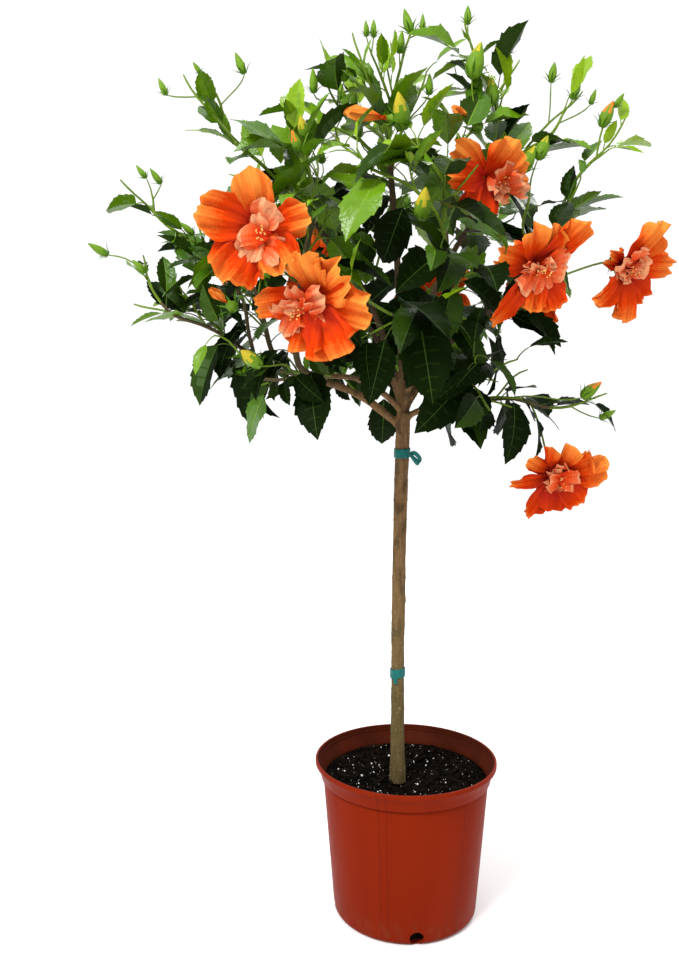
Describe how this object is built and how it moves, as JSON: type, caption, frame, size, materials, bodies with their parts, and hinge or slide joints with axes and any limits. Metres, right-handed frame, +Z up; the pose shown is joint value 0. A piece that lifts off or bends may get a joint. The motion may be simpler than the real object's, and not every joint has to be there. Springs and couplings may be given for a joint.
{
  "type": "potted hibiscus standard",
  "caption": "Hibiscus shrub trained as a standard: a clear woody stem with an airy round crown of glossy toothed leaves and orange double blooms, in a plastic nursery pot.",
  "frame": {"origin": "centre of the pot's flat underside, on the surface that it stands on", "axes": "+Z up along the pot's axis, -Y towards the front, +X to the right seen from the front"},
  "size_m": [0.7796, 0.5942, 1.2588],
  "materials": {
    "pot": "satin",
    "soil": "matte",
    "bark": "matte",
    "tie": "satin",
    "foliage": "satin",
    "blossom": "matte"
  },
  "bodies": {
    "root": {"back_left_shoot": "foliage", "back_low_shoot": "foliage", "back_right_shoot": "foliage", "back_top_shoot": "foliage", "belt_1": "foliage", "belt_2": "foliage", "belt_3": "foliage", "belt_4": "foliage", "belt_5": "foliage", "belt_6": "foliage", "bough_back": "bark", "bough_back_left": "bark", "bough_front": "bark", "bough_front_left": "bark", "bough_leader": "bark", "bough_left": "bark", "bough_low_right": "bark", "bough_right": "bark", "bough_upper_left": "bark", "bough_upper_right": "bark", "cap_1": "foliage", "hanging_bloom": "blossom", "high_right_shoot": "foliage", "left_bud": "foliage", "left_drape": "foliage", "left_spray": "foliage", "low_spray": "foliage", "pot": "pot", "right_bloom": "blossom", "right_bud_shoot": "foliage", "right_shoot": "foliage", "shoulder_1": "foliage", "shoulder_2": "foliage", "shoulder_3": "foliage", "shoulder_4": "foliage", "shoulder_5": "foliage", "skirt_1": "foliage", "skirt_2": "foliage", "skirt_3": "foliage", "skirt_4": "foliage", "skirt_5": "foliage", "skirt_6": "foliage", "skirt_7": "foliage", "soil": "soil", "tie_lower": "tie", "tie_upper": "tie", "top_left_shoot": "foliage", "top_right_shoot": "foliage", "top_shoot": "foliage", "trunk": "bark", "upper_left_shoot": "foliage"}
  },
  "joints": []
}
